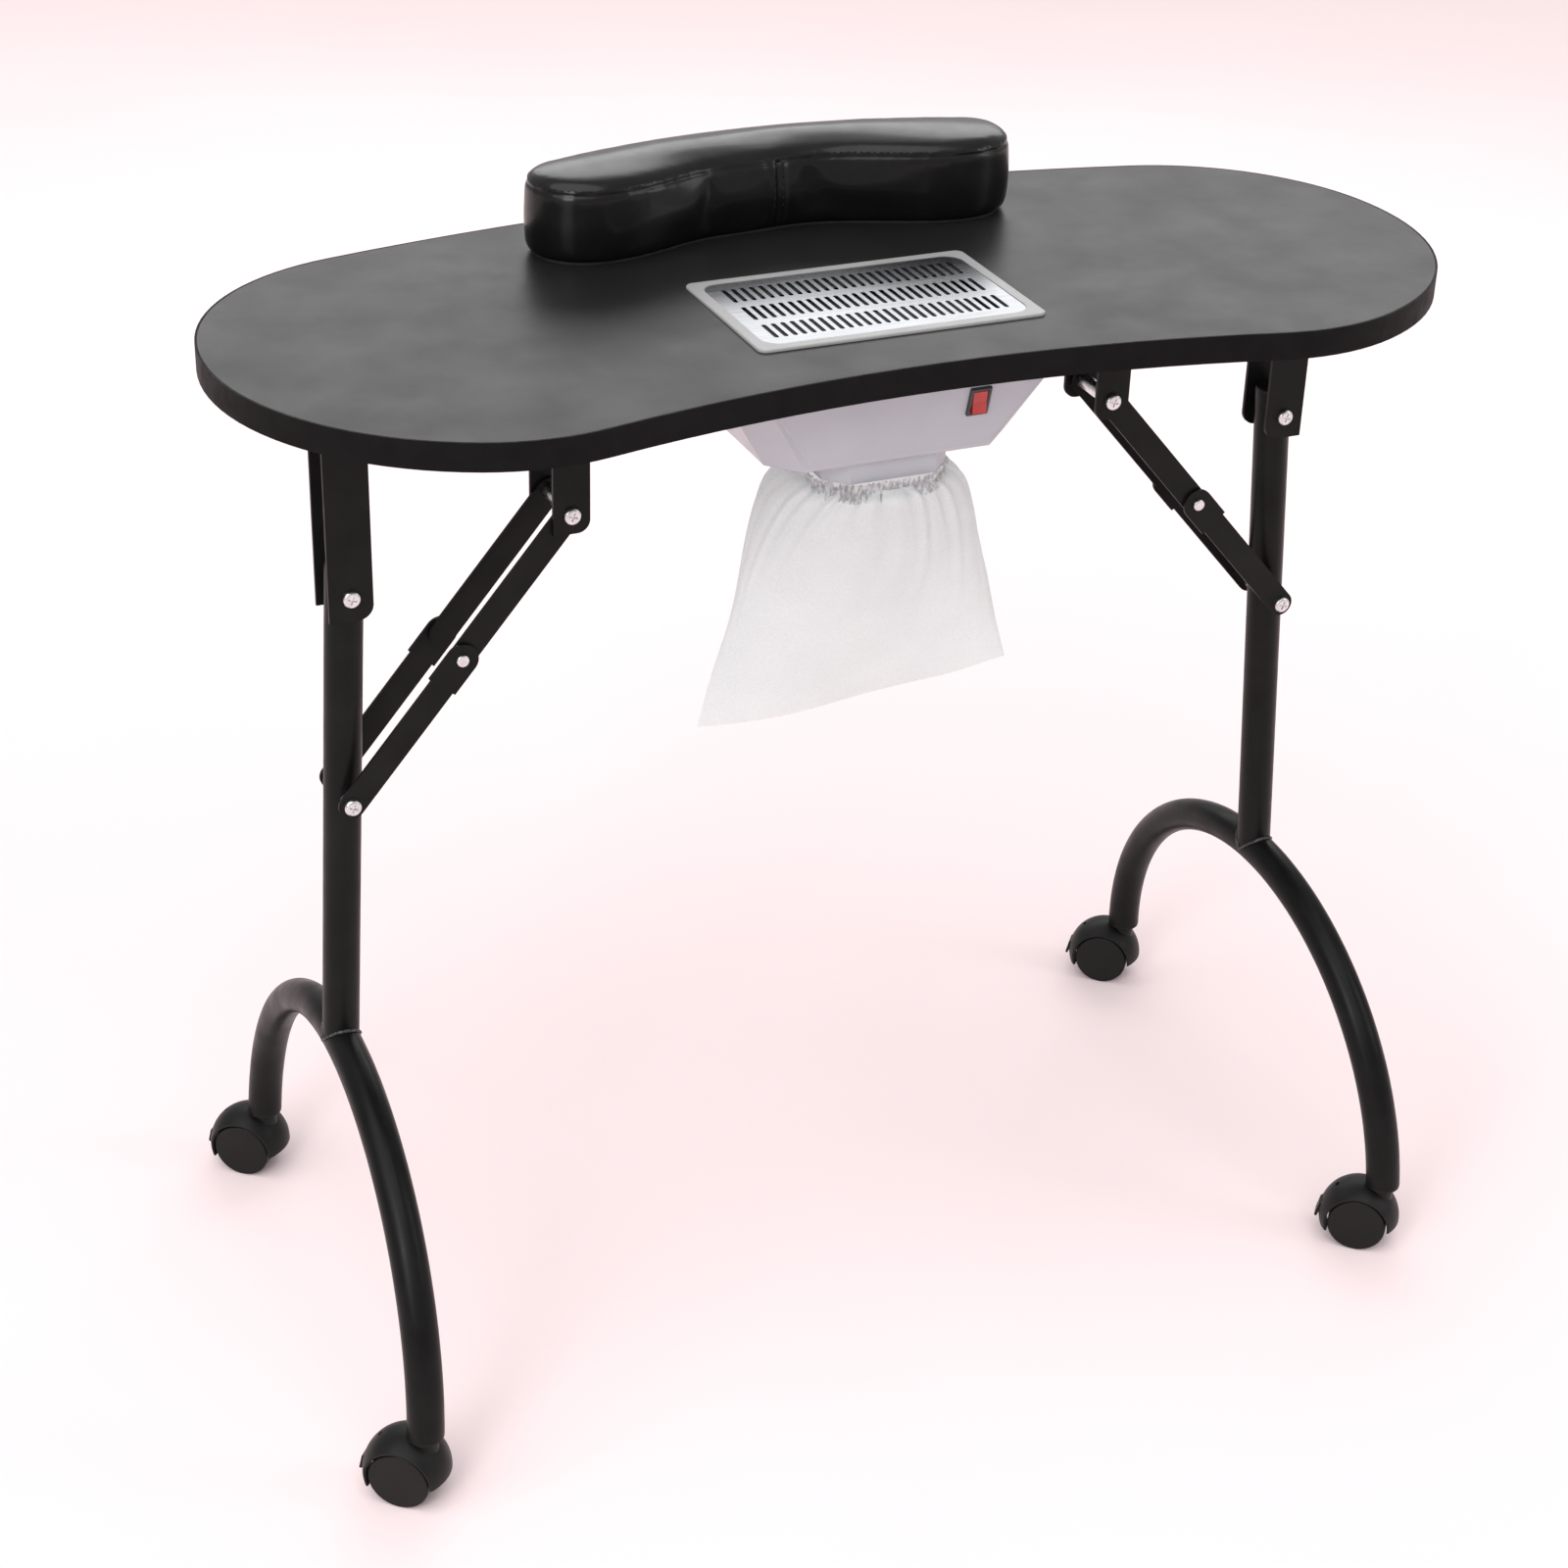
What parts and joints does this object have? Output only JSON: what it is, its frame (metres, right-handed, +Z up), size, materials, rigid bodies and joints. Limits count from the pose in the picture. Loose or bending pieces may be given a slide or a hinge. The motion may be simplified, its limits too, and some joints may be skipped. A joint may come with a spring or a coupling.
{
  "type": "folding manicure table",
  "caption": "Folding kidney-shaped manicure table with a built-in dust extractor, cloth dust bag, padded wrist rest and arched tube legs on casters.",
  "frame": {"origin": "centre of the bounding box on the floor", "axes": "+Z up, +X along the tabletop to the right as the technician's concave front edge is faced, -Y towards that front edge"},
  "size_m": [0.8372, 0.4534, 0.794],
  "materials": {
    "laminate": "black melamine laminate on fibreboard, fine matte grain",
    "edge_band": "black PVC edge band",
    "vent_frame": "white moulded plastic",
    "grille_steel": "polished stainless sheet",
    "housing": "pale lavender-grey moulded plastic",
    "fan_plastic": "black moulded plastic",
    "fan_motor": "steel",
    "switch_black": "black plastic",
    "rocker_red": "translucent red plastic",
    "bag_fabric": "sheer white non-woven cloth",
    "bag_elastic": "gathered elastic hem",
    "leather": "glossy black leatherette",
    "rest_board": "plywood board",
    "zinc": "bright zinc plate",
    "tube_paint": "satin black powder coat",
    "bracket_paint": "satin black powder coat",
    "plug_plastic": "black plastic",
    "caster_plastic": "black moulded nylon",
    "wheel_nylon": "black nylon wheel"
  },
  "bodies": {
    "table": {"tabletop": "laminate", "edge_band": "edge_band", "vent_frame": "vent_frame", "vent_grille": "grille_steel", "fan_housing": "housing", "fan_frame": "fan_plastic", "fan_motor": "fan_motor", "switch_bezel": "switch_black", "power_inlet": "switch_black", "dust_bag": "bag_fabric", "bag_elastic": "bag_elastic", "mounting_screws": "zinc", "pivot_bracket_left": "bracket_paint", "brace_bracket_left": "bracket_paint", "pivot_bolt_left": "zinc", "brace_top_bolt_left": "zinc", "pivot_bracket_right": "bracket_paint", "brace_bracket_right": "bracket_paint", "pivot_bolt_right": "zinc", "brace_top_bolt_right": "zinc"},
    "fan": {"fan_impeller": "fan_plastic"},
    "rocker": {"switch_rocker": "rocker_red"},
    "wrist_rest": {"wrist_rest_cushion": "leather", "wrist_rest_base": "rest_board"},
    "leg_left": {"leg_post_left": "tube_paint", "leg_arch_left": "tube_paint", "tube_plugs_left": "plug_plastic", "caster_stems_left": "zinc", "brace_low_bolt_left": "zinc"},
    "brace_upper_left": {"brace_upper_left": "bracket_paint"},
    "brace_lower_left": {"brace_lower_left": "bracket_paint", "brace_rivets_left": "zinc"},
    "caster_front_left": {"caster_hood_front_left": "caster_plastic", "caster_pins_front_left": "zinc"},
    "wheels_front_left": {"caster_wheels_front_left": "wheel_nylon"},
    "lever_front_left": {"brake_lever_front_left": "caster_plastic"},
    "caster_back_left": {"caster_hood_back_left": "caster_plastic", "caster_pins_back_left": "zinc"},
    "wheels_back_left": {"caster_wheels_back_left": "wheel_nylon"},
    "lever_back_left": {"brake_lever_back_left": "caster_plastic"},
    "leg_right": {"leg_post_right": "tube_paint", "leg_arch_right": "tube_paint", "tube_plugs_right": "plug_plastic", "caster_stems_right": "zinc", "brace_low_bolt_right": "zinc"},
    "brace_upper_right": {"brace_upper_right": "bracket_paint"},
    "brace_lower_right": {"brace_lower_right": "bracket_paint", "brace_rivets_right": "zinc"},
    "caster_front_right": {"caster_hood_front_right": "caster_plastic", "caster_pins_front_right": "zinc"},
    "wheels_front_right": {"caster_wheels_front_right": "wheel_nylon"},
    "lever_front_right": {"brake_lever_front_right": "caster_plastic"},
    "caster_back_right": {"caster_hood_back_right": "caster_plastic", "caster_pins_back_right": "zinc"},
    "wheels_back_right": {"caster_wheels_back_right": "wheel_nylon"},
    "lever_back_right": {"brake_lever_back_right": "caster_plastic"}
  },
  "joints": [
    {"name": "fan_spin", "type": "hinge", "parent": "table", "child": "fan", "pos_m": [0, -0.051, 0.6634], "axis": [0, 0, 1], "continuous": true},
    {"name": "switch_tip", "type": "hinge", "parent": "table", "child": "rocker", "pos_m": [0.0485, -0.11171, 0.6899], "axis": [1, 0, 0], "range_deg": [0, 10]},
    {"name": "wrist_rest_lift", "type": "slide", "parent": "table", "child": "wrist_rest", "axis": [0, 0, 1], "range_m": [0, 0.08]},
    {"name": "leg_fold_left", "type": "hinge", "parent": "table", "child": "leg_left", "pos_m": [-0.339, -0.009, 0.5763], "axis": [0, -1, 0], "range_deg": [0, 92.82], "deforming": ["dust_bag"]},
    {"name": "brace_upper_fold_left", "type": "hinge", "parent": "table", "child": "brace_upper_left", "pos_m": [-0.1946, -0.009, 0.6137], "axis": [0, -1, 0], "range_deg": [-45.33, 0]},
    {"name": "brace_lower_fold_left", "type": "hinge", "parent": "leg_left", "child": "brace_lower_left", "pos_m": [-0.34614, -0.009, 0.43148], "axis": [0, -1, 0], "range_deg": [0, 24.75]},
    {"name": "caster_swivel_front_left", "type": "hinge", "parent": "leg_left", "child": "caster_front_left", "pos_m": [-0.36474, -0.20669, 0.044], "axis": [0, 0, 1], "continuous": true},
    {"name": "wheel_spin_front_left", "type": "hinge", "parent": "caster_front_left", "child": "wheels_front_left", "pos_m": [-0.37546, -0.19769, 0.0215], "axis": [-0.6428, -0.766, 0], "continuous": true},
    {"name": "brake_front_left", "type": "hinge", "parent": "caster_front_left", "child": "lever_front_left", "pos_m": [-0.39431, -0.18188, 0.0265], "axis": [0.6428, 0.766, 0], "range_deg": [0, 25]},
    {"name": "caster_swivel_back_left", "type": "hinge", "parent": "leg_left", "child": "caster_back_left", "pos_m": [-0.36474, 0.18869, 0.044], "axis": [0, 0, 1], "continuous": true},
    {"name": "wheel_spin_back_left", "type": "hinge", "parent": "caster_back_left", "child": "wheels_back_left", "pos_m": [-0.37546, 0.19769, 0.0215], "axis": [-0.6428, -0.766, 0], "continuous": true},
    {"name": "brake_back_left", "type": "hinge", "parent": "caster_back_left", "child": "lever_back_left", "pos_m": [-0.39431, 0.21351, 0.0265], "axis": [0.6428, 0.766, 0], "range_deg": [0, 25]},
    {"name": "leg_fold_right", "type": "hinge", "parent": "table", "child": "leg_right", "pos_m": [0.339, -0.009, 0.6033], "axis": [0, 1, 0], "range_deg": [0, 94.43], "deforming": ["dust_bag"]},
    {"name": "brace_upper_fold_right", "type": "hinge", "parent": "table", "child": "brace_upper_right", "pos_m": [0.1946, -0.009, 0.6375], "axis": [0, 1, 0], "range_deg": [-45.17, 0]},
    {"name": "brace_lower_fold_right", "type": "hinge", "parent": "leg_right", "child": "brace_lower_right", "pos_m": [0.3502, -0.009, 0.45873], "axis": [0, 1, 0], "range_deg": [0, 24.87]},
    {"name": "caster_swivel_front_right", "type": "hinge", "parent": "leg_right", "child": "caster_front_right", "pos_m": [0.38156, -0.20669, 0.044], "axis": [0, 0, 1], "continuous": true},
    {"name": "wheel_spin_front_right", "type": "hinge", "parent": "caster_front_right", "child": "wheels_front_right", "pos_m": [0.37083, -0.19769, 0.0215], "axis": [-0.6428, -0.766, 0], "continuous": true},
    {"name": "brake_front_right", "type": "hinge", "parent": "caster_front_right", "child": "lever_front_right", "pos_m": [0.35199, -0.18188, 0.0265], "axis": [0.6428, 0.766, 0], "range_deg": [0, 25]},
    {"name": "caster_swivel_back_right", "type": "hinge", "parent": "leg_right", "child": "caster_back_right", "pos_m": [0.38156, 0.18869, 0.044], "axis": [0, 0, 1], "continuous": true},
    {"name": "wheel_spin_back_right", "type": "hinge", "parent": "caster_back_right", "child": "wheels_back_right", "pos_m": [0.37083, 0.19769, 0.0215], "axis": [-0.6428, -0.766, 0], "continuous": true},
    {"name": "brake_back_right", "type": "hinge", "parent": "caster_back_right", "child": "lever_back_right", "pos_m": [0.35199, 0.21351, 0.0265], "axis": [0.6428, 0.766, 0], "range_deg": [0, 25]}
  ],
  "couplings": [
    {"joint": "brace_upper_fold_left", "follows": "leg_fold_left", "ratio": -0.48292},
    {"joint": "brace_lower_fold_left", "follows": "leg_fold_left", "ratio": 0.26125},
    {"joint": "brace_upper_fold_right", "follows": "leg_fold_right", "ratio": -0.47306},
    {"joint": "brace_lower_fold_right", "follows": "leg_fold_right", "ratio": 0.25803}
  ]
}
